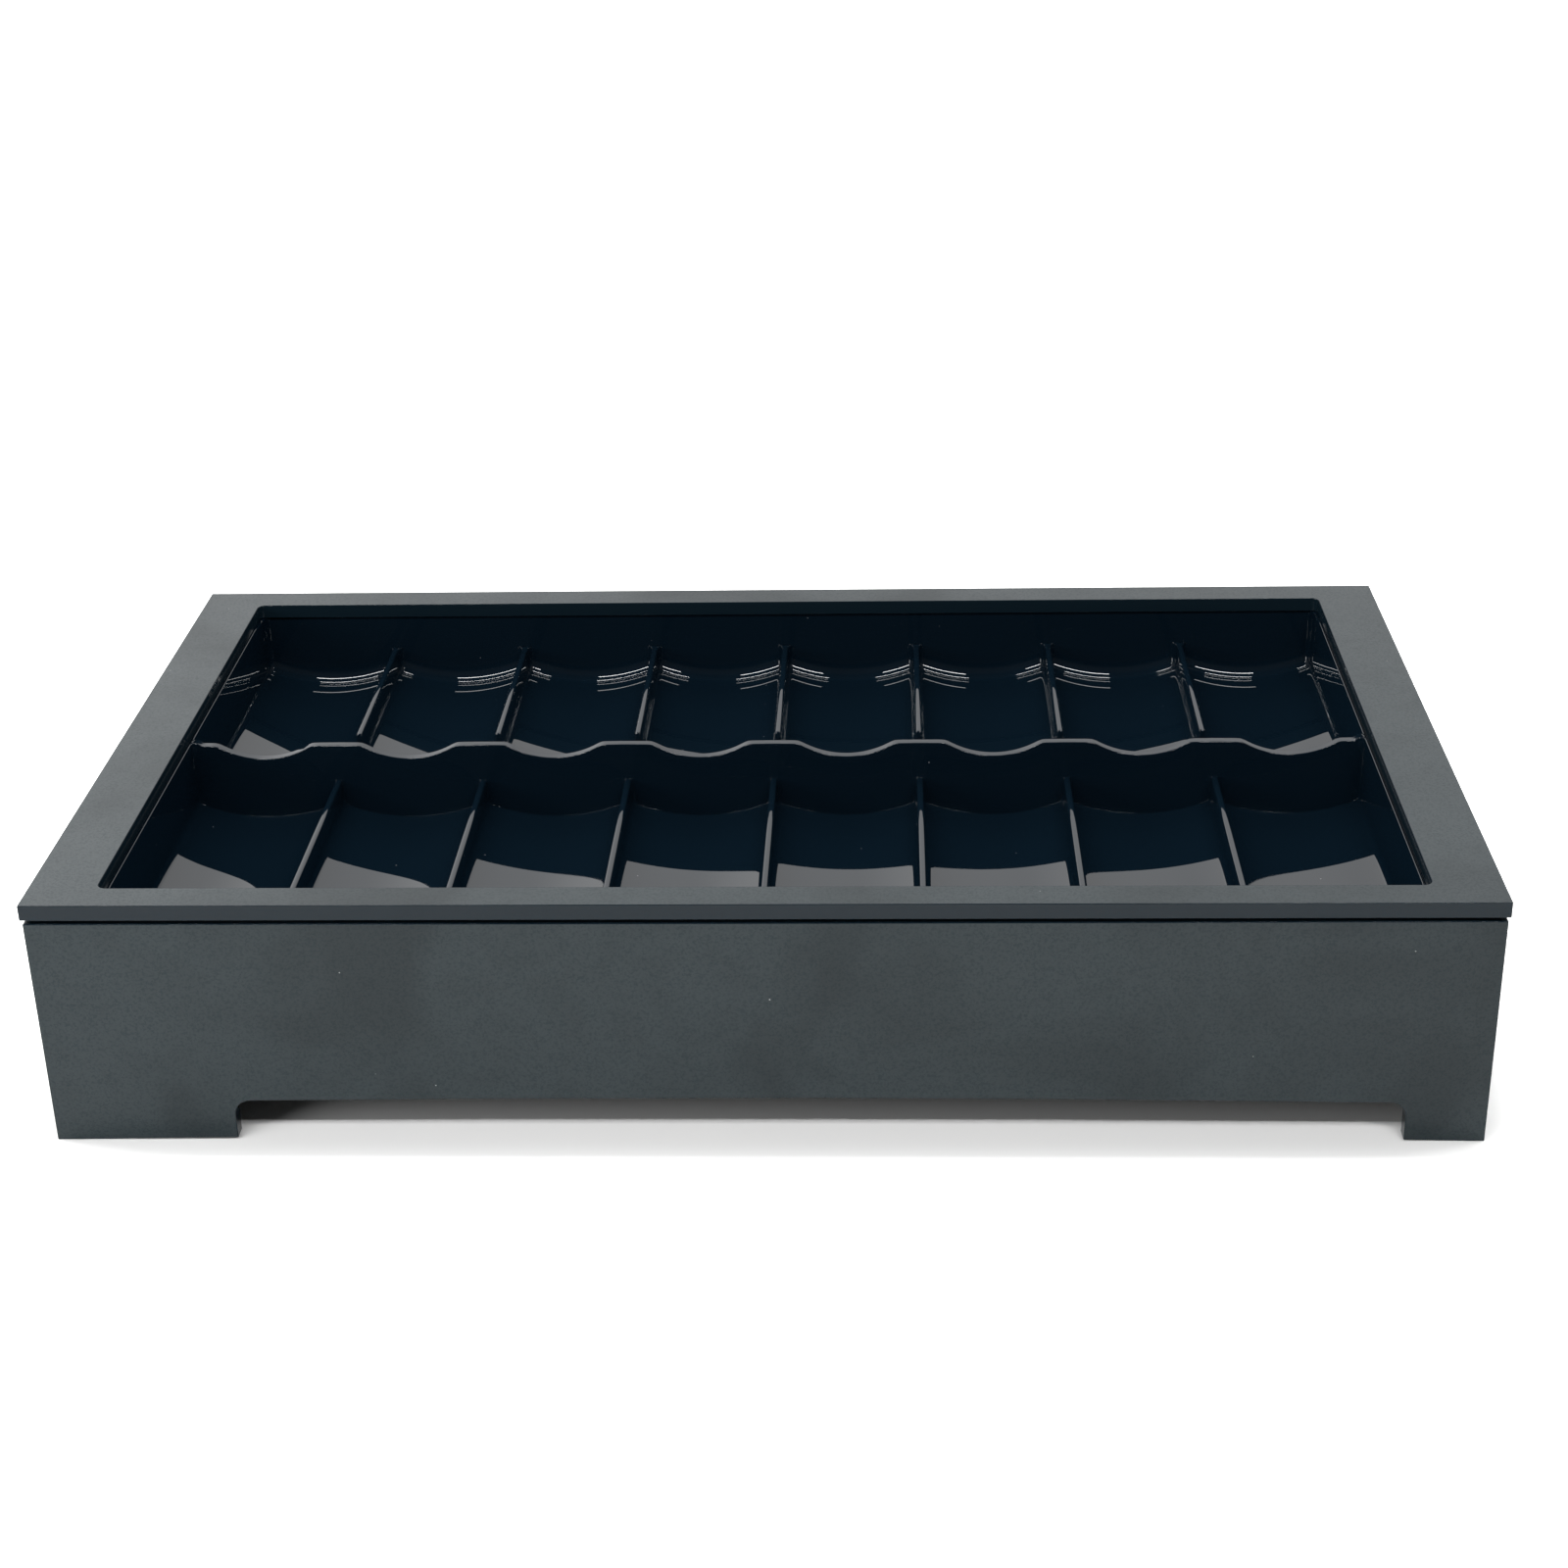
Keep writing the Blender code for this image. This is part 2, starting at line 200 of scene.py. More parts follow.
# Paper that keeps the tray's shadow and turns plain white for the camera further away.
def addFloor():
    half = floorPaper["half"]
    mesh = bpy.data.meshes.new("paperFloor")
    corners = [(x, y, 0.0) for x, y in ((-half, -half), (half, -half), (half, half), (-half, half))]
    mesh.from_pydata(corners, [], [(0, 1, 2, 3)])
    floor = newObject("paperFloor", mesh)
    material = bpy.data.materials.new("whitePaper")
    material.use_nodes = True
    nodes, links = material.node_tree.nodes, material.node_tree.links
    shader = nodes["Principled BSDF"]
    shader.inputs["Base Color"].default_value = (*floorPaper["colour"], 1.0)
    shader.inputs["Roughness"].default_value = floorPaper["roughness"]
    shader.inputs["Specular IOR Level"].default_value = floorPaper["specular"]
    shader.inputs["Emission Color"].default_value = (1.0, 1.0, 1.0, 1.0)
    parts = nodes.new("ShaderNodeSeparateXYZ")
    links.new(nodes.new("ShaderNodeTexCoord").outputs["Object"], parts.inputs[0])
    beyond = []
    for axis, reach in (("X", cadBox[1].x), ("Y", cadBox[1].y)):
        across = addMath(nodes, links, "ABSOLUTE", parts.outputs[axis])
        outside = addMath(nodes, links, "SUBTRACT", across, reach)
        outside = addMath(nodes, links, "MAXIMUM", outside, 0.0)
        beyond.append(addMath(nodes, links, "MULTIPLY", outside, outside))
    distance = addMath(nodes, links, "SQRT", addMath(nodes, links, "ADD", *beyond))
    glow = addRamp(nodes, links, distance, 0.0, floorPaper["shadowReach"])
    seen = nodes.new("ShaderNodeLightPath").outputs["Is Camera Ray"]
    links.new(addMath(nodes, links, "MULTIPLY", seen, glow), shader.inputs["Emission Strength"])
    mesh.materials.append(material)


addCamera()
addWorld()
addFloor()
for lampName, values in studio["lamps"].items():
    addLamp(lampName, *values)

print("stage: materials")


def newMaterial(name):
    material = bpy.data.materials.new(name)
    material.use_nodes = True
    nodes, links = material.node_tree.nodes, material.node_tree.links
    return material, nodes, links, nodes["Principled BSDF"]


def addGroup(name, inputs, outputs):
    group = bpy.data.node_groups.new(name, "ShaderNodeTree")
    for socket, kind, value in inputs:
        made = group.interface.new_socket(socket, in_out="INPUT", socket_type=kind)
        if value is not None:
            made.default_value = value
    for socket, kind in outputs:
        group.interface.new_socket(socket, in_out="OUTPUT", socket_type=kind)
    start = group.nodes.new("NodeGroupInput")
    end = group.nodes.new("NodeGroupOutput")
    return group, group.nodes, group.links, start, end


smudge = {"detail": 4.0, "distortion": 0.6, "fade": (0.42, 0.68)}


# Soft cloudy marks, as fingers and a wiping cloth leave them: 0 is clean and 1 is marked.
def makeSmudgeGroup():
    group, nodes, links, start, end = addGroup(
        "handlingSmudges",
        [
            ("Vector", "NodeSocketVector", None),
            ("Scale", "NodeSocketFloat", 9.0),
            ("Amount", "NodeSocketFloat", 0.5),
        ],
        [("Mask", "NodeSocketFloat")],
    )
    clouds = nodes.new("ShaderNodeTexNoise")
    clouds.inputs["Detail"].default_value = smudge["detail"]
    clouds.inputs["Distortion"].default_value = smudge["distortion"]
    links.new(start.outputs["Vector"], clouds.inputs["Vector"])
    links.new(start.outputs["Scale"], clouds.inputs["Scale"])
    fade = nodes.new("ShaderNodeMapRange")
    fade.interpolation_type = "SMOOTHSTEP"
    fade.inputs["From Min"].default_value, fade.inputs["From Max"].default_value = smudge["fade"]
    links.new(clouds.outputs["Fac"], fade.inputs["Value"])
    links.new(start.outputs["Amount"], fade.inputs["To Max"])
    links.new(fade.outputs["Result"], end.inputs["Mask"])
    return group


# Sparse bright specks of dust: one in some of the cells of a pattern.
def makeDustGroup():
    group, nodes, links, start, end = addGroup(
        "fineDust",
        [
            ("Vector", "NodeSocketVector", None),
            ("Scale", "NodeSocketFloat", 60.0),
            ("Size", "NodeSocketFloat", 0.012),
            ("Share", "NodeSocketFloat", 0.1),
        ],
        [("Mask", "NodeSocketFloat")],
    )
    cells = nodes.new("ShaderNodeTexVoronoi")
    cells.inputs["Randomness"].default_value = 1.0
    links.new(start.outputs["Vector"], cells.inputs["Vector"])
    links.new(start.outputs["Scale"], cells.inputs["Scale"])
    near = nodes.new("ShaderNodeMath")
    near.operation = "LESS_THAN"
    links.new(cells.outputs["Distance"], near.inputs[0])
    links.new(start.outputs["Size"], near.inputs[1])
    tint = nodes.new("ShaderNodeSeparateColor")
    links.new(cells.outputs["Color"], tint.inputs["Color"])
    chosen = nodes.new("ShaderNodeMath")
    chosen.operation = "LESS_THAN"
    links.new(tint.outputs["Red"], chosen.inputs[0])
    links.new(start.outputs["Share"], chosen.inputs[1])
    both = nodes.new("ShaderNodeMath")
    both.operation = "MULTIPLY"
    links.new(near.outputs[0], both.inputs[0])
    links.new(chosen.outputs[0], both.inputs[1])
    links.new(both.outputs[0], end.inputs["Mask"])
    return group


def placeGroup(nodes, links, group, vector, values):
    node = nodes.new("ShaderNodeGroup")
    node.node_tree = group
    links.new(vector, node.inputs["Vector"])
    for key, value in values.items():
        node.inputs[key].default_value = value
    return node.outputs["Mask"]


def blendColours(nodes, links, mask, first, second):
    mix = nodes.new("ShaderNodeMix")
    mix.data_type = "RGBA"
    links.new(mask, mix.inputs["Factor"])
    for name, colour in (("A", first), ("B", second)):
        socket = [item for item in mix.inputs if item.name == name and item.type == "RGBA"][0]
        if isinstance(colour, tuple):
            socket.default_value = (*colour, 1.0)
        else:
            links.new(colour, socket)
    return [item for item in mix.outputs if item.type == "RGBA"][0]


def scaleMask(nodes, links, mask, low, high):
    node = nodes.new("ShaderNodeMapRange")
    node.inputs["To Min"].default_value = low
    node.inputs["To Max"].default_value = high
    links.new(mask, node.inputs["Value"])
    return node.outputs["Result"]


smudgeGroup = makeSmudgeGroup()
dustGroup = makeDustGroup()

satin = {
    "colour": (0.0080, 0.0168, 0.0205),
    "markedColour": (0.0054, 0.0115, 0.0142),
    "dustColour": (0.26, 0.27, 0.27),
    "cutColour": (0.0045, 0.0105, 0.0155),   # the sheet's cut edges are polished
    "cutRoughness": 0.10,
    "specular": 0.25,
    "sheen": 0.33,                # the flat sides shine a little more than the cut edges
    "markedSheen": 0.50,          # share of it that is left on marks
    "fleckSheen": 0.35,           # and on the sheet's fine dark flecks
    "sheenRoughness": 0.32,
    "roughness": (0.29, 0.35),    # clean, and marked
    "clouds": {"Scale": 15.0, "Amount": 0.85},
    "mottle": {"Scale": 75.0, "Amount": 0.25},
    "flecks": {"Scale": 1400.0, "Amount": 1.0},
    "dust": {"Scale": 120.0, "Size": 0.025, "Share": 0.4},
    "grainScale": 2600.0,
    "grainDetail": 2.0,
    "grainDepth": 0.000012,
}


def makeSatinMaterial():
    material, nodes, links, shader = newMaterial("satinBlackSheet")
    shader.inputs["Specular IOR Level"].default_value = satin["specular"]
    place = nodes.new("ShaderNodeTexCoord").outputs["Object"]
    clouds = placeGroup(nodes, links, smudgeGroup, place, satin["clouds"])
    mottle = placeGroup(nodes, links, smudgeGroup, place, satin["mottle"])
    flecks = placeGroup(nodes, links, smudgeGroup, place, satin["flecks"])
    smudges = addMath(nodes, links, "MAXIMUM", clouds, mottle)
    dust = placeGroup(nodes, links, dustGroup, place, satin["dust"])
    cut = nodes.new("ShaderNodeAttribute")
    cut.attribute_name = "cutEdge"
    colour = blendColours(nodes, links, smudges, satin["colour"], satin["markedColour"])
    colour = blendColours(nodes, links, cut.outputs["Fac"], colour, satin["cutColour"])
    colour = blendColours(nodes, links, dust, colour, satin["dustColour"])
    links.new(colour, shader.inputs["Base Color"])
    roughness = nodes.new("ShaderNodeMix")
    roughness.inputs["B"].default_value = satin["cutRoughness"]
    links.new(cut.outputs["Fac"], roughness.inputs["Factor"])
    links.new(scaleMask(nodes, links, smudges, *satin["roughness"]), roughness.inputs["A"])
    links.new(roughness.outputs["Result"], shader.inputs["Roughness"])
    shader.inputs["Coat Roughness"].default_value = satin["sheenRoughness"]
    sheen = scaleMask(nodes, links, cut.outputs["Fac"], satin["sheen"], 0.0)
    marked = scaleMask(nodes, links, smudges, 1.0, satin["markedSheen"])
    flecked = scaleMask(nodes, links, flecks, 1.0, satin["fleckSheen"])
    kept = addMath(nodes, links, "MULTIPLY", marked, flecked)
    links.new(addMath(nodes, links, "MULTIPLY", sheen, kept), shader.inputs["Coat Weight"])
    grain = nodes.new("ShaderNodeTexNoise")
    grain.inputs["Scale"].default_value = satin["grainScale"]
    grain.inputs["Detail"].default_value = satin["grainDetail"]
    links.new(place, grain.inputs["Vector"])
    bump = nodes.new("ShaderNodeBump")
    bump.inputs["Distance"].default_value = satin["grainDepth"]
    links.new(grain.outputs["Fac"], bump.inputs["Height"])
    links.new(bump.outputs["Normal"], shader.inputs["Normal"])
    return material


gloss = {
    "colour": (0.0020, 0.0060, 0.0108),
    "dustColour": (0.16, 0.16, 0.17),
    "roughness": (0.008, 0.03),   # clean, and marked
    "refraction": 1.50,
    "smudges": {"Scale": 26.0, "Amount": 1.0},
    "dust": {"Scale": 150.0, "Size": 0.03, "Share": 0.25},
}


def makeGlossMaterial():
    material, nodes, links, shader = newMaterial("glossBlackMoulding")
    shader.inputs["IOR"].default_value = gloss["refraction"]
    place = nodes.new("ShaderNodeTexCoord").outputs["Object"]
    smudges = placeGroup(nodes, links, smudgeGroup, place, gloss["smudges"])
    dust = placeGroup(nodes, links, dustGroup, place, gloss["dust"])
    colour = blendColours(nodes, links, dust, gloss["colour"], gloss["dustColour"])
    links.new(colour, shader.inputs["Base Color"])
    links.new(scaleMask(nodes, links, smudges, *gloss["roughness"]), shader.inputs["Roughness"])
    return material


sawn = {
    "colour": (0.030, 0.032, 0.034),
    "paleColour": (0.050, 0.052, 0.055),
    "roughness": 0.55,
    "stretch": (0.06, 0.06, 1.0),  # saw lines run round the block
    "lineScale": 900.0,
    "lineDetail": 3.0,
    "lineDepth": 0.00005,
    "edge": 0.0004,
}


def makeSawnMaterial():
    material, nodes, links, shader = newMaterial("sawnBlackBlock")
    shader.inputs["Roughness"].default_value = sawn["roughness"]
    place = nodes.new("ShaderNodeTexCoord").outputs["Object"]
    stretch = nodes.new("ShaderNodeMapping")
    stretch.inputs["Scale"].default_value = sawn["stretch"]
    links.new(place, stretch.inputs["Vector"])
    lines = nodes.new("ShaderNodeTexNoise")
    lines.inputs["Scale"].default_value = sawn["lineScale"]
    lines.inputs["Detail"].default_value = sawn["lineDetail"]
    links.new(stretch.outputs["Vector"], lines.inputs["Vector"])
    colour = blendColours(nodes, links, lines.outputs["Fac"], sawn["colour"], sawn["paleColour"])
    links.new(colour, shader.inputs["Base Color"])
    bump = nodes.new("ShaderNodeBump")
    bump.inputs["Distance"].default_value = sawn["lineDepth"]
    links.new(lines.outputs["Fac"], bump.inputs["Height"])
    links.new(bump.outputs["Normal"], shader.inputs["Normal"])
    return material


satinMaterial = makeSatinMaterial()
glossMaterial = makeGlossMaterial()
sawnMaterial = makeSawnMaterial()

print("stage: base and frame")

sheets = {                        # node, body, rounded edge, thin axis
    "frontPanel": ("base_front_panel", "base", 0.00025, "y"),
    "rearPanel": ("base_rear_panel", "base", 0.00025, "y"),
    "leftPanel": ("base_left_panel", "base", 0.00025, "x"),
    "rightPanel": ("base_right_panel", "base", 0.00025, "x"),
    "topFrame": ("top_frame", "frame", 0.00022, "z"),
}

edges = {
    "mergeDistance": 1e-6,
    "flatAngle": 0.3,             # degrees: triangles this close to flat become one face
    "bevelAngle": 35.0,           # degrees: sharper corners are rounded
    "bevelSteps": 3,
    "smoothAngle": 40.0,
    "flatSide": 0.99,             # a face this close to square with the thin axis is a flat side
}


# A node's mesh as a closed shape with whole flat faces, in a new object.
def mergedCopy(nodeName, pieceName):
    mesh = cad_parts[nodeName].data.copy()
    mesh.name = pieceName
    mesh.materials.clear()
    bm = bmesh.new()
    bm.from_mesh(mesh)
    bmesh.ops.remove_doubles(bm, verts=bm.verts, dist=edges["mergeDistance"])
    flatAngle = math.radians(edges["flatAngle"])
    bmesh.ops.dissolve_limit(bm, angle_limit=flatAngle, verts=bm.verts, edges=bm.edges)
    bm.to_mesh(mesh)
    bm.free()
    return newObject(pieceName, mesh)


# Rounds the edges for good, so that what is done to the mesh later sees the rounded faces.
def finishEdges(piece, width):
    bevel = piece.modifiers.new("edges", "BEVEL")
    bevel.width = width
    bevel.segments = edges["bevelSteps"]
    bevel.limit_method = "ANGLE"
    bevel.angle_limit = math.radians(edges["bevelAngle"])
    rounded = piece.evaluated_get(bpy.context.evaluated_depsgraph_get())
    piece.data = bpy.data.meshes.new_from_object(rounded)
    piece.modifiers.clear()
    smoothFaces(piece, edges["smoothAngle"])


def smoothFaces(piece, angle):
    piece.data.shade_smooth()
    piece.data.set_sharp_from_angle(angle=math.radians(angle))
    normals = piece.modifiers.new("normals", "WEIGHTED_NORMAL")
    normals.keep_sharp = True


# Marks the faces where the sheet was cut, which are smoother than its two flat sides.
def markCutEdges(piece, thinAxis):
    mask = piece.data.attributes.new("cutEdge", "FLOAT", "FACE")
    for face, value in zip(piece.data.polygons, mask.data):
        value.value = 0.0 if abs(getattr(face.normal, thinAxis)) > edges["flatSide"] else 1.0


def addPiece(piece, body, material, nodeNames):
    piece.data.materials.clear()
    piece.data.materials.append(material)
    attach(piece, body)
    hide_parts(*nodeNames)


for pieceName, (nodeName, body, edge, thinAxis) in sheets.items():
    sheet = mergedCopy(nodeName, pieceName)
    finishEdges(sheet, edge)
    markCutEdges(sheet, thinAxis)
    addPiece(sheet, body, satinMaterial, [nodeName])

for name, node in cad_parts.items():
    if name.startswith("corner_block"):
        block = mergedCopy(name, name + "_sawn")
        finishEdges(block, sawn["edge"])
        addPiece(block, "base", sawnMaterial, [name])

print("stage: insert")

moulding = {
    "pitch": 0.0450,
    "columns": 8,
    "halfLength": 0.1050,          # middle of the insert to the inside of its front and rear walls
    "middle": -0.00065,            # Y of the middle of the insert
    "troughBottom": 0.0464,
    "troughRadius": 0.0550,
    "ridgeSoftness": 0.0015,
    # Width and height of a foot fillet, and radius of its wall's top edge.
    "footAcross": (0.0016, 0.0017, 0.00022),   # of a pocket's side
    "footAlong": (0.0028, 0.0028, 0.00022),    # of a divider's end
    "footOuter": (0.0034, 0.0066, 0.00022),    # of the front or rear wall
    "footCentre": (0.0001, 0.0001, 0.00030),   # of the wall between the rows
    "dividerTop": 0.0589,
    "dividerHalf": 0.0010,
    "dividerEdge": 0.00062,
    "dividerDraft": 0.00010,
    "fingerGap": 0.0312,
    "centreHalf": 0.00115,
    "wallDraft": 0.00020,
    "flangeTop": 0.0704,
    "flangeThickness": 0.0010,
    "lipTop": 0.0714,
    "lipWidth": 0.0008,
    "lipHalfLength": 0.10095,
    "wall": 0.0018,
    "scallopWidth": 0.0290,
    "scallopDepth": 0.0044,
    "scallopSoftness": 0.0005,
    "footSteps": 8,
    "sideSteps": 3,
    "edgeSteps": 3,
    "troughSteps": 32,
    "gapSteps": 3,                 # rows of points in front of the dividers
    "rowSteps": 5,                 # and beside them
    "mergeDistance": 2e-6,
    "sideTolerance": 1e-5,
    "smoothAngle": 36.0,
}

footLevel = moulding["footSteps"]
sideLevel = footLevel + moulding["sideSteps"]
dividerLevel = sideLevel + moulding["edgeSteps"]
upperLevel = dividerLevel + moulding["sideSteps"]
wallLevel = upperLevel + moulding["edgeSteps"]


# Sine and cosine part of the way through a quarter turn.
def quarter(step, steps):
    angle = math.radians(90.0 * step / steps)
    return math.sin(angle), math.cos(angle)


# Height of a level on a wall: up its foot fillet, its side and its rounded edge.
def levelHeight(level, floorZ, top, foot):
    m = moulding
    if level <= footLevel:
        return floorZ + foot[1] * (1.0 - quarter(level, footLevel)[1])
    if level <= sideLevel:
        share = (level - footLevel) / m["sideSteps"]
        start = floorZ + foot[1]
        return start + share * (m["dividerTop"] - m["dividerEdge"] - start)
    if level <= dividerLevel:
        rise = quarter(level - sideLevel, m["edgeSteps"])[0]
        return m["dividerTop"] - m["dividerEdge"] * (1.0 - rise)
    if level <= upperLevel:
        share = (level - dividerLevel) / m["sideSteps"]
        return m["dividerTop"] + share * (top - foot[2] - m["dividerTop"])
    rise = quarter(level - upperLevel, m["edgeSteps"])[0]
    return top - foot[2] * (1.0 - rise)


# How far a level stands out from the line where the foot fillet starts.
def levelReach(level, divider, foot):
    m = moulding
    if level <= footLevel:
        return foot[0] * quarter(level, footLevel)[0]
    lean = m["dividerDraft"] * min(1.0, (level - footLevel) / m["sideSteps"])
    if level <= sideLevel:
        return foot[0] + lean
    if divider:
        turn = quarter(level - sideLevel, m["edgeSteps"])[1]
        return foot[0] + lean + m["dividerEdge"] * (1.0 - turn)
    lean += m["wallDraft"] * min(1.0, max(0.0, (level - dividerLevel) / m["sideSteps"]))
    if level <= upperLevel:
        return foot[0] + lean
    turn = quarter(level - upperLevel, m["edgeSteps"])[1]
    return foot[0] + lean + foot[2] * (1.0 - turn)


# Stations up a wall, from its foot to level last. Face is where its rounded edge ends.
def climb(face, direction, last, divider, fillet):
    foot = face - direction * levelReach(last, divider, fillet)
    return [
        {"at": foot + direction * levelReach(level, divider, fillet), "level": level,
         "foot": foot, "face": face, "fillet": fillet}
        for level in range(last + 1)
    ]


# Places between two stations, without the two.
def spread(start, end, count):
    return [start + (end - start) * step / (count + 1) for step in range(1, count + 1)]


# Floor of a pocket. A ridge that it shares with a neighbour is rounded.
def troughHeight(x, softLeft, softRight):
    m = moulding
    half, radius = m["pitch"] / 2, m["troughRadius"]
    soft = softLeft if x < 0 else softRight
    near = min(abs(x), half - m["ridgeSoftness"]) if soft else abs(x)
    height = m["troughBottom"] + radius - math.sqrt(radius ** 2 - near ** 2)
    if soft and abs(x) > near:
        slope = near / math.sqrt(radius ** 2 - near ** 2)
        rest = max(0.0, half - abs(x))
        height += slope * (m["ridgeSoftness"] ** 2 - rest ** 2) / (2 * m["ridgeSoftness"])
    return height


# Top of the wall between the rows, with its finger scallop and softened shoulders.
def centreTop(x):
    m = moulding
    half, sag = m["scallopWidth"] / 2, m["scallopDepth"]
    radius = (half ** 2 + sag ** 2) / (2 * sag)
    if abs(x) < half:
        depth = math.sqrt(radius ** 2 - x ** 2) - (radius - sag)
    else:
        depth = -(abs(x) - half) * half / (radius - sag)
    soft = m["scallopSoftness"]
    return m["flangeTop"] - (depth + math.sqrt(depth ** 2 + soft ** 2)) / 2


# What a station on the flat top beyond a wall's rounded edge shares with the wall.
def beyondTop(wall):
    last = wall[-1]
    return {"beyond": True, **{key: last[key] for key in ("level", "foot", "face", "fillet")}}


# Stations across one column of pockets. Its left side is a divider or the end wall.
def acrossStations(leftWall):
    m = moulding
    half = m["pitch"] / 2
    topHalf = m["dividerHalf"] - m["dividerEdge"]
    right = climb(half - topHalf, 1, dividerLevel, True, m["footAcross"])
    if leftWall:
        left = climb(-half, -1, wallLevel, False, m["footAcross"])
        lipEdge = -half - m["lipWidth"]
        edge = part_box("insert_flange")[0].x + (m["columns"] - 1) * half
        outside = [edge, (edge + lipEdge) / 2, lipEdge]
    else:
        left = climb(-half + topHalf, -1, dividerLevel, True, m["footAcross"])
        outside = [-half]
    kind = "end" if leftWall else "divider"
    stations = [{"at": x, "kind": kind, **beyondTop(left)} for x in outside]
    stations += [{**station, "kind": kind} for station in reversed(left)]
    for x in spread(left[0]["at"], right[0]["at"], m["troughSteps"] - 1):
        stations.append({"at": x, "kind": "floor", "level": 0})
    stations += [{**station, "kind": "divider"} for station in right]
    stations.append({"at": half, "kind": "divider", **beyondTop(right)})
    return stations


# Stations along one pocket, from the top of the wall in front to the top of the wall behind.
def rowStations(frontFace, rearFace, frontFoot, rearFoot):
    m = moulding
    front = climb(frontFace, -1, wallLevel, False, m[frontFoot])
    endFace = frontFace + m["fingerGap"] + m["dividerEdge"]
    end = climb(endFace, 1, dividerLevel, True, m["footAlong"])
    rear = climb(rearFace, 1, wallLevel, False, m[rearFoot])
    stations = [{**station, "kind": "wall", "divider": 0} for station in reversed(front)]
    for y in spread(front[0]["at"], end[0]["at"], m["gapSteps"]):
        stations.append({"at": y, "kind": "floor", "level": 0, "divider": 0})
    for station in end:
        stations.append({**station, "kind": "dividerEnd", "level": 0, "divider": station["level"]})
    for y in spread(end[-1]["at"], rear[0]["at"], m["rowSteps"]):
        stations.append({"at": y, "kind": "floor", "level": 0, "divider": dividerLevel})
    for station in rear:
        stations.append({**station, "kind": "wall", "divider": dividerLevel})
        if station["level"] == dividerLevel:
            stations.append({**station, "kind": "wall", "divider": dividerLevel, "ledge": True})
    return stations


# Stations along a column: flange, front pocket, centre wall, back pocket and flange.
def alongStations():
    m = moulding
    low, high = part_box("insert_flange")
    front, middle, rear = m["middle"] - m["halfLength"], m["middle"], m["middle"] + m["halfLength"]
    inset = m["centreHalf"]
    stations = [{"at": low.y, "kind": "top", "level": wallLevel, "divider": 0}]
    stations += rowStations(front, middle - inset, "footOuter", "footCentre")
    stations.append({"at": middle, "kind": "top", "level": wallLevel, "divider": 0})
    stations += rowStations(middle + inset, rear, "footCentre", "footOuter")
    stations.append({"at": high.y, "kind": "top", "level": wallLevel, "divider": 0})
    return stations


# How far round a corner's ring a crossing lies: 0 on the side across, 1 on the wall along.
def ringShare(first, second, ring, last):
    if last is None:               # hollow corner: the ring grows up the walls from nothing
        return second / (2 * ring) if first == ring else 1.0 - first / (2 * ring)
    span = 2 * (last - ring)       # outer corner: the ring shrinks up to the top
    return (last - second) / span if first == ring else 1.0 - (last - first) / span


def ringPlace(centre, spans, share):
    sine, cosine = quarter(share, 1.0)
    return centre[0] + spans[0] * cosine, centre[1] + spans[1] * sine


# The place of the insert's upper surface where an across and an along station cross.
def surfacePoint(across, along, leftWall):
    m = moulding
    x, y = across["at"], along["at"]
    isWall = across["kind"] == "end"
    beyond = across.get("beyond", False)
    if isWall and beyond:          # the flange; the lip slopes down to it
        return x, y, m["flangeTop"]
    acrossLevel = across["level"]
    shown = acrossLevel if isWall else min(acrossLevel, along["divider"])
    footX, footY = m["footAcross"], along.get("fillet", m["footAlong"])
    share = None

    if along["kind"] == "wall" and across["kind"] in ("end", "divider"):
        rowLevel = along["level"]
        top = wallLevel if isWall else dividerLevel
        raised = isWall or along["divider"] == dividerLevel
        ledge = along.get("ledge", False) and not isWall
        ring = max(acrossLevel, rowLevel)
        if raised and ring <= top and ring > 0 and not ledge:
            signX = math.copysign(1.0, across["face"] - across["foot"])
            signY = math.copysign(1.0, along["face"] - along["foot"])
            spans = (
                signX * levelReach(ring, not isWall, footX),
                signY * levelReach(ring, False, footY),
            )
            share = ringShare(acrossLevel, rowLevel, ring, None)
            turned = ringPlace((across["foot"], along["foot"]), spans, share)
            x, y = (x, turned[1]) if beyond else turned
    elif along["kind"] == "dividerEnd" and across["kind"] == "divider" and not beyond:
        ring = min(acrossLevel, along["divider"])
        if ring < dividerLevel:
            signX = math.copysign(1.0, across["foot"] - across["face"])
            signY = math.copysign(1.0, along["foot"] - along["face"])
            spans = (
                signX * (levelReach(dividerLevel, True, footX) - levelReach(ring, True, footX)),
                signY * (levelReach(dividerLevel, True, footY) - levelReach(ring, True, footY)),
            )
            share = ringShare(acrossLevel, along["divider"], ring, dividerLevel)
            x, y = ringPlace((across["face"], along["face"]), spans, share)

    floorZ = troughHeight(x, not leftWall, True)
    isMiddle = abs(y - m["middle"]) < m["pitch"] / 2
    wallTop = centreTop(x) if isMiddle else m["flangeTop"]
    acrossTop = m["dividerTop"]
    if isWall:
        lipped = abs(along["at"] - m["middle"]) < m["lipHalfLength"]
        acrossTop = m["lipTop"] if lipped else m["flangeTop"]
    else:
        shown = min(shown, dividerLevel)
    if share is not None and not beyond:   # the height turns from one side's fillet to the other's
        low = levelHeight(ring, floorZ, acrossTop, footX)
        high = levelHeight(ring, floorZ, wallTop, footY)
        if ring <= sideLevel:
            return x, y, low + share * (high - low)
        return x, y, max(low, high)
    shownFoot = footY if along["kind"] == "dividerEnd" and beyond else footX
    z = levelHeight(along["level"], floorZ, wallTop, footY)
    return x, y, max(z, levelHeight(shown, floorZ, acrossTop, shownFoot))


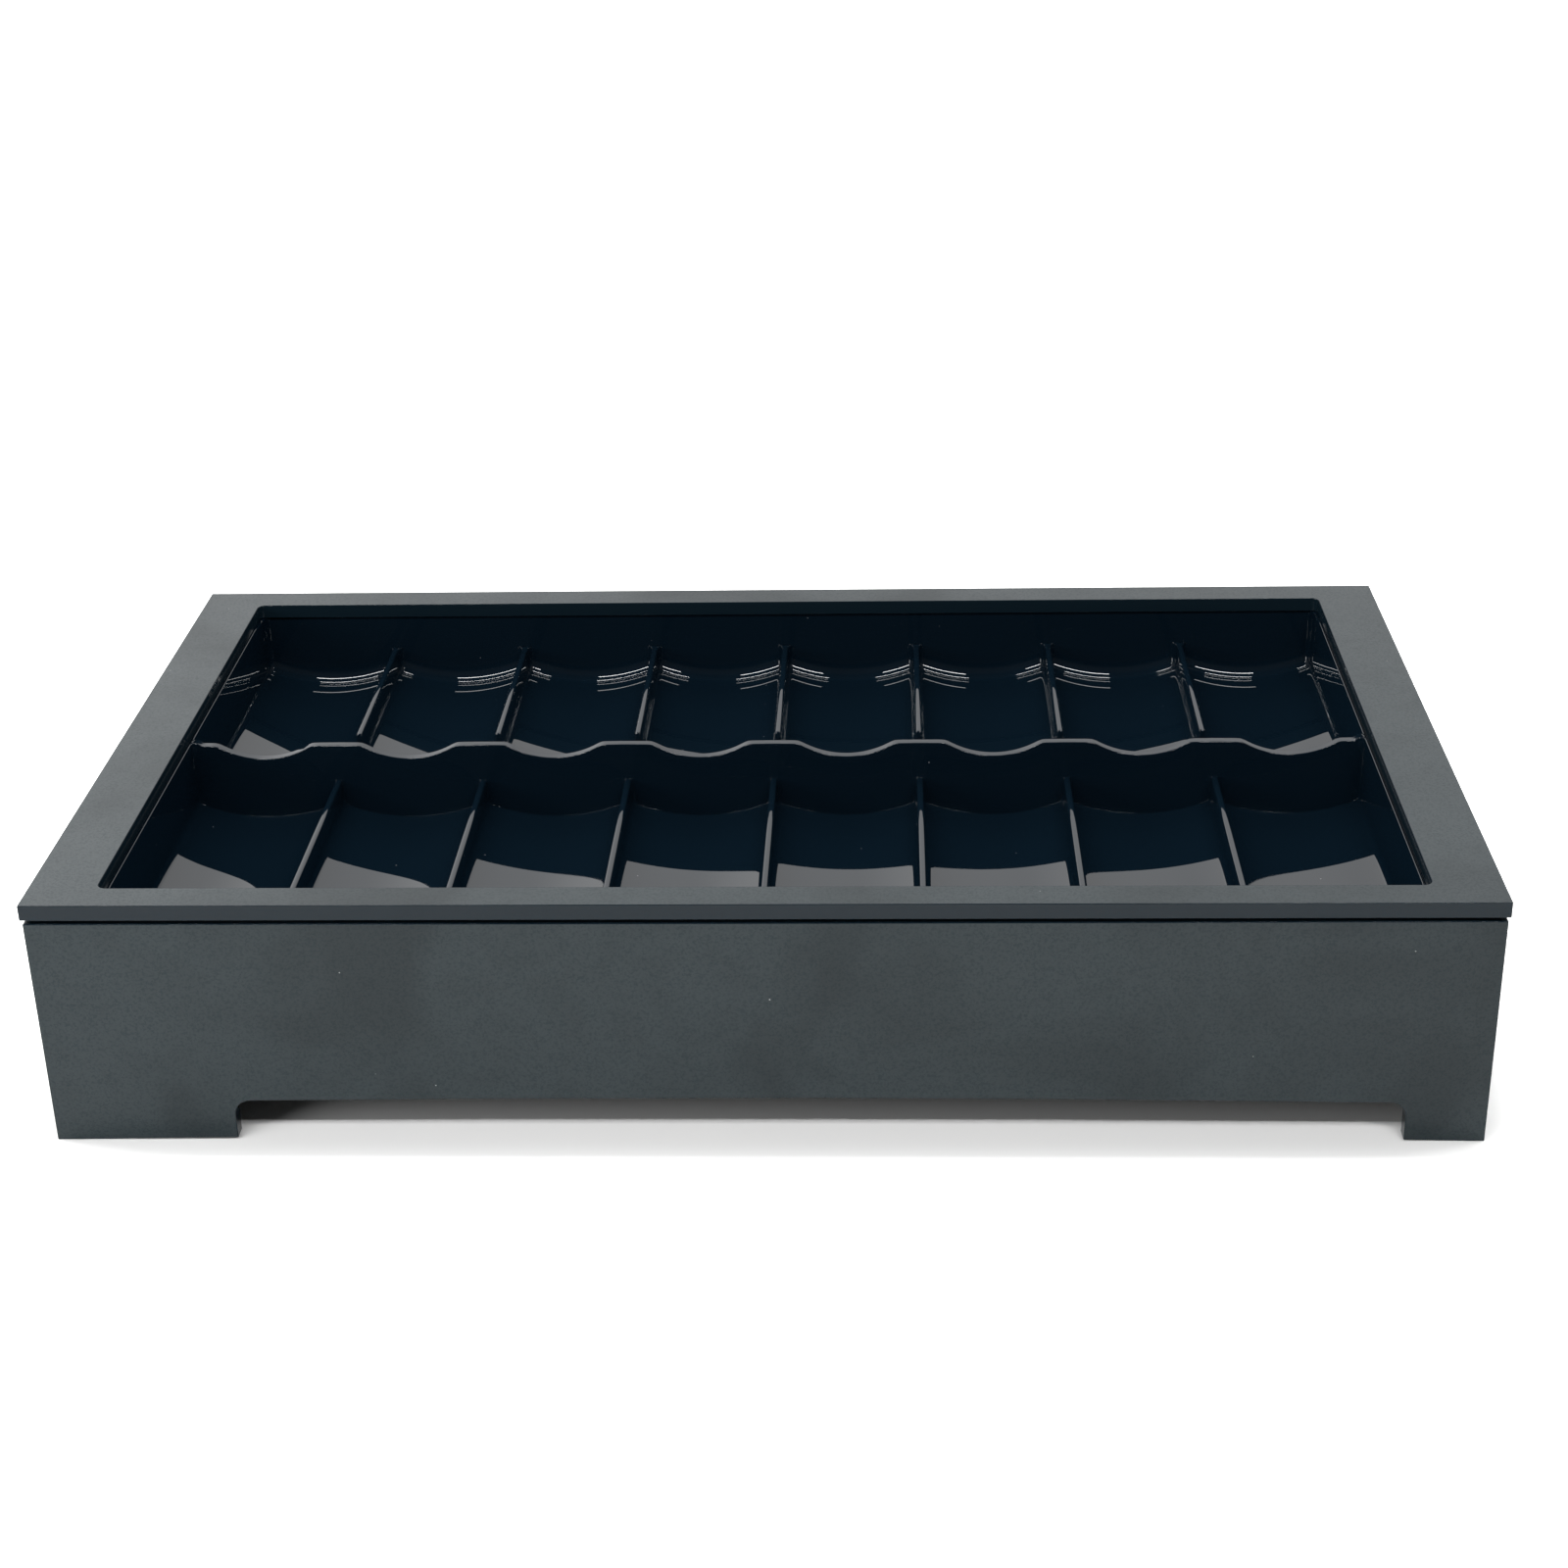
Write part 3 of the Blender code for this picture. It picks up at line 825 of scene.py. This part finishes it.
# The upper surface of one column of pockets, from flange to flange, centred on X = 0.
def makeColumn(name, leftWall):
    across = acrossStations(leftWall)
    along = alongStations()
    points = [surfacePoint(a, b, leftWall) for b in along for a in across]
    width = len(across)
    faces = []
    for row in range(len(along) - 1):
        for place in range(width - 1):
            start = row * width + place
            faces.append((start, start + 1, start + width + 1, start + width))
    mesh = bpy.data.meshes.new(name)
    mesh.from_pydata(points, [], faces)
    bm = bmesh.new()
    bm.from_mesh(mesh)
    bmesh.ops.remove_doubles(bm, verts=bm.verts, dist=moulding["mergeDistance"])
    bm.to_mesh(mesh)
    bm.free()
    return newObject(name, mesh)


# A node tree that sets columns side by side, with an end column and its mirror image.
def makeRowTree():
    tree = bpy.data.node_groups.new("pocketColumns", "GeometryNodeTree")
    face = tree.interface
    face.new_socket("Geometry", in_out="INPUT", socket_type="NodeSocketGeometry")
    for name, kind in (
        ("End Column", "NodeSocketObject"), ("Pitch", "NodeSocketFloat"),
        ("Middle Columns", "NodeSocketInt"), ("Finish", "NodeSocketMaterial"),
    ):
        face.new_socket(name, in_out="INPUT", socket_type=kind)
    face.new_socket("Geometry", in_out="OUTPUT", socket_type="NodeSocketGeometry")
    nodes, links = tree.nodes, tree.links
    start, end = nodes.new("NodeGroupInput"), nodes.new("NodeGroupOutput")

    def alongX(x):
        node = nodes.new("ShaderNodeCombineXYZ")
        links.new(x, node.inputs["X"])
        return node.outputs[0]

    pitch, count = start.outputs["Pitch"], start.outputs["Middle Columns"]
    gaps = addMath(nodes, links, "SUBTRACT", count, 1.0)
    halfGaps = addMath(nodes, links, "MULTIPLY", gaps, -0.5)
    firstMiddle = addMath(nodes, links, "MULTIPLY", halfGaps, pitch)
    endPlace = addMath(nodes, links, "SUBTRACT", firstMiddle, pitch)
    line = nodes.new("GeometryNodeMeshLine")
    links.new(count, line.inputs["Count"])
    links.new(alongX(firstMiddle), line.inputs["Start Location"])
    links.new(alongX(pitch), line.inputs["Offset"])
    repeat = nodes.new("GeometryNodeInstanceOnPoints")
    links.new(line.outputs["Mesh"], repeat.inputs["Points"])
    links.new(start.outputs["Geometry"], repeat.inputs["Instance"])

    info = nodes.new("GeometryNodeObjectInfo")
    links.new(start.outputs["End Column"], info.inputs["Object"])
    leftEnd = nodes.new("GeometryNodeTransform")
    links.new(info.outputs["Geometry"], leftEnd.inputs["Geometry"])
    links.new(alongX(endPlace), leftEnd.inputs["Translation"])
    rightEnd = nodes.new("GeometryNodeTransform")
    rightEnd.inputs["Scale"].default_value = (-1.0, 1.0, 1.0)
    links.new(leftEnd.outputs["Geometry"], rightEnd.inputs["Geometry"])
    turned = nodes.new("GeometryNodeFlipFaces")
    links.new(rightEnd.outputs["Geometry"], turned.inputs["Mesh"])

    join = nodes.new("GeometryNodeJoinGeometry")
    for part in (repeat.outputs["Instances"], leftEnd.outputs["Geometry"], turned.outputs["Mesh"]):
        links.new(part, join.inputs["Geometry"])
    whole = nodes.new("GeometryNodeRealizeInstances")
    links.new(join.outputs["Geometry"], whole.inputs["Geometry"])
    weld = nodes.new("GeometryNodeMergeByDistance")
    weld.inputs["Distance"].default_value = moulding["mergeDistance"]
    links.new(whole.outputs["Geometry"], weld.inputs["Geometry"])
    finish = nodes.new("GeometryNodeSetMaterial")
    links.new(weld.outputs["Geometry"], finish.inputs["Geometry"])
    links.new(start.outputs["Finish"], finish.inputs["Material"])
    links.new(finish.outputs["Geometry"], end.inputs["Geometry"])
    return tree


def repeatColumns(middleColumn, endColumn):
    tree = makeRowTree()
    modifier = middleColumn.modifiers.new("columns", "NODES")
    modifier.node_group = tree
    values = {
        "End Column": endColumn, "Pitch": moulding["pitch"],
        "Middle Columns": moulding["columns"] - 2, "Finish": glossMaterial,
    }
    for item in tree.interface.items_tree:
        if item.in_out == "INPUT" and item.name in values:
            modifier[item.identifier] = values[item.name]
    evaluated = middleColumn.evaluated_get(bpy.context.evaluated_depsgraph_get())
    mesh = bpy.data.meshes.new_from_object(evaluated)
    mesh.name = "insertMoulding"
    for spare in (middleColumn, endColumn):
        bpy.data.objects.remove(spare, do_unlink=True)
    return mesh


# Adds the flange's edge and underside, the outside of the walls and the underside of the floor.
def closeUnderneath(mesh):
    m = moulding
    low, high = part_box("insert_flange")
    bm = bmesh.new()
    bm.from_mesh(mesh)
    near = m["sideTolerance"]
    sides = [
        sorted((v for v in bm.verts if abs(v.co.y - low.y) < near), key=lambda v: v.co.x),
        sorted((v for v in bm.verts if abs(v.co.x - high.x) < near), key=lambda v: v.co.y),
        sorted((v for v in bm.verts if abs(v.co.y - high.y) < near), key=lambda v: -v.co.x),
        sorted((v for v in bm.verts if abs(v.co.x - low.x) < near), key=lambda v: -v.co.y),
    ]
    wallX = m["pitch"] * m["columns"] / 2 + m["wall"]
    wallY = m["halfLength"] + m["wall"]
    under = m["flangeTop"] - m["flangeThickness"]
    signs = ((-1, -1), (1, -1), (1, 1), (-1, 1))
    outer = [bm.verts.new((high.x * sx, low.y if sy < 0 else high.y, under)) for sx, sy in signs]
    inner = [bm.verts.new((wallX * sx, m["middle"] + wallY * sy, under)) for sx, sy in signs]
    for index, side in enumerate(sides):
        after = (index + 1) % 4
        bm.faces.new(side + [outer[after], outer[index]])
        bm.faces.new((outer[index], outer[after], inner[after], inner[index]))

    steps = m["troughSteps"] // 2
    profile = []
    for column in range(m["columns"]):
        middle = (column + 0.5 - m["columns"] / 2) * m["pitch"]
        for step in range(1 if column else 0, steps + 1):
            offset = (step / steps - 0.5) * m["pitch"]
            profile.append((middle + offset, troughHeight(offset, False, False) - m["wall"]))
    profile[0] = (-wallX, profile[0][1])
    profile[-1] = (wallX, profile[-1][1])
    frontEdge = [bm.verts.new((x, m["middle"] - wallY, z)) for x, z in profile]
    rearEdge = [bm.verts.new((x, m["middle"] + wallY, z)) for x, z in profile]
    bm.faces.new([inner[0], inner[1]] + frontEdge[::-1])
    bm.faces.new([inner[2], inner[3]] + rearEdge)
    bm.faces.new((inner[1], inner[2], rearEdge[-1], frontEdge[-1]))
    bm.faces.new((inner[3], inner[0], frontEdge[0], rearEdge[0]))
    for place in range(len(profile) - 1):
        bm.faces.new((frontEdge[place], frontEdge[place + 1], rearEdge[place + 1], rearEdge[place]))
    bmesh.ops.recalc_face_normals(bm, faces=bm.faces)
    openEdges = sum(1 for edge in bm.edges if not edge.is_manifold)
    print("insert moulding:", len(bm.faces), "faces,", openEdges, "open edges")
    bm.to_mesh(mesh)
    bm.free()


insertMesh = repeatColumns(makeColumn("middleColumn", False), makeColumn("endColumn", True))
closeUnderneath(insertMesh)
insertPiece = newObject("insertMoulding", insertMesh)
smoothFaces(insertPiece, moulding["smoothAngle"])
insertStarts = ("insert_", "pocket_floor", "front_divider", "back_divider")
insertNodes = [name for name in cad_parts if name.startswith(insertStarts)]
addPiece(insertPiece, "insert", glossMaterial, insertNodes)

print("stage: finish")
bpy.context.scene.view_settings.view_transform = "Standard"
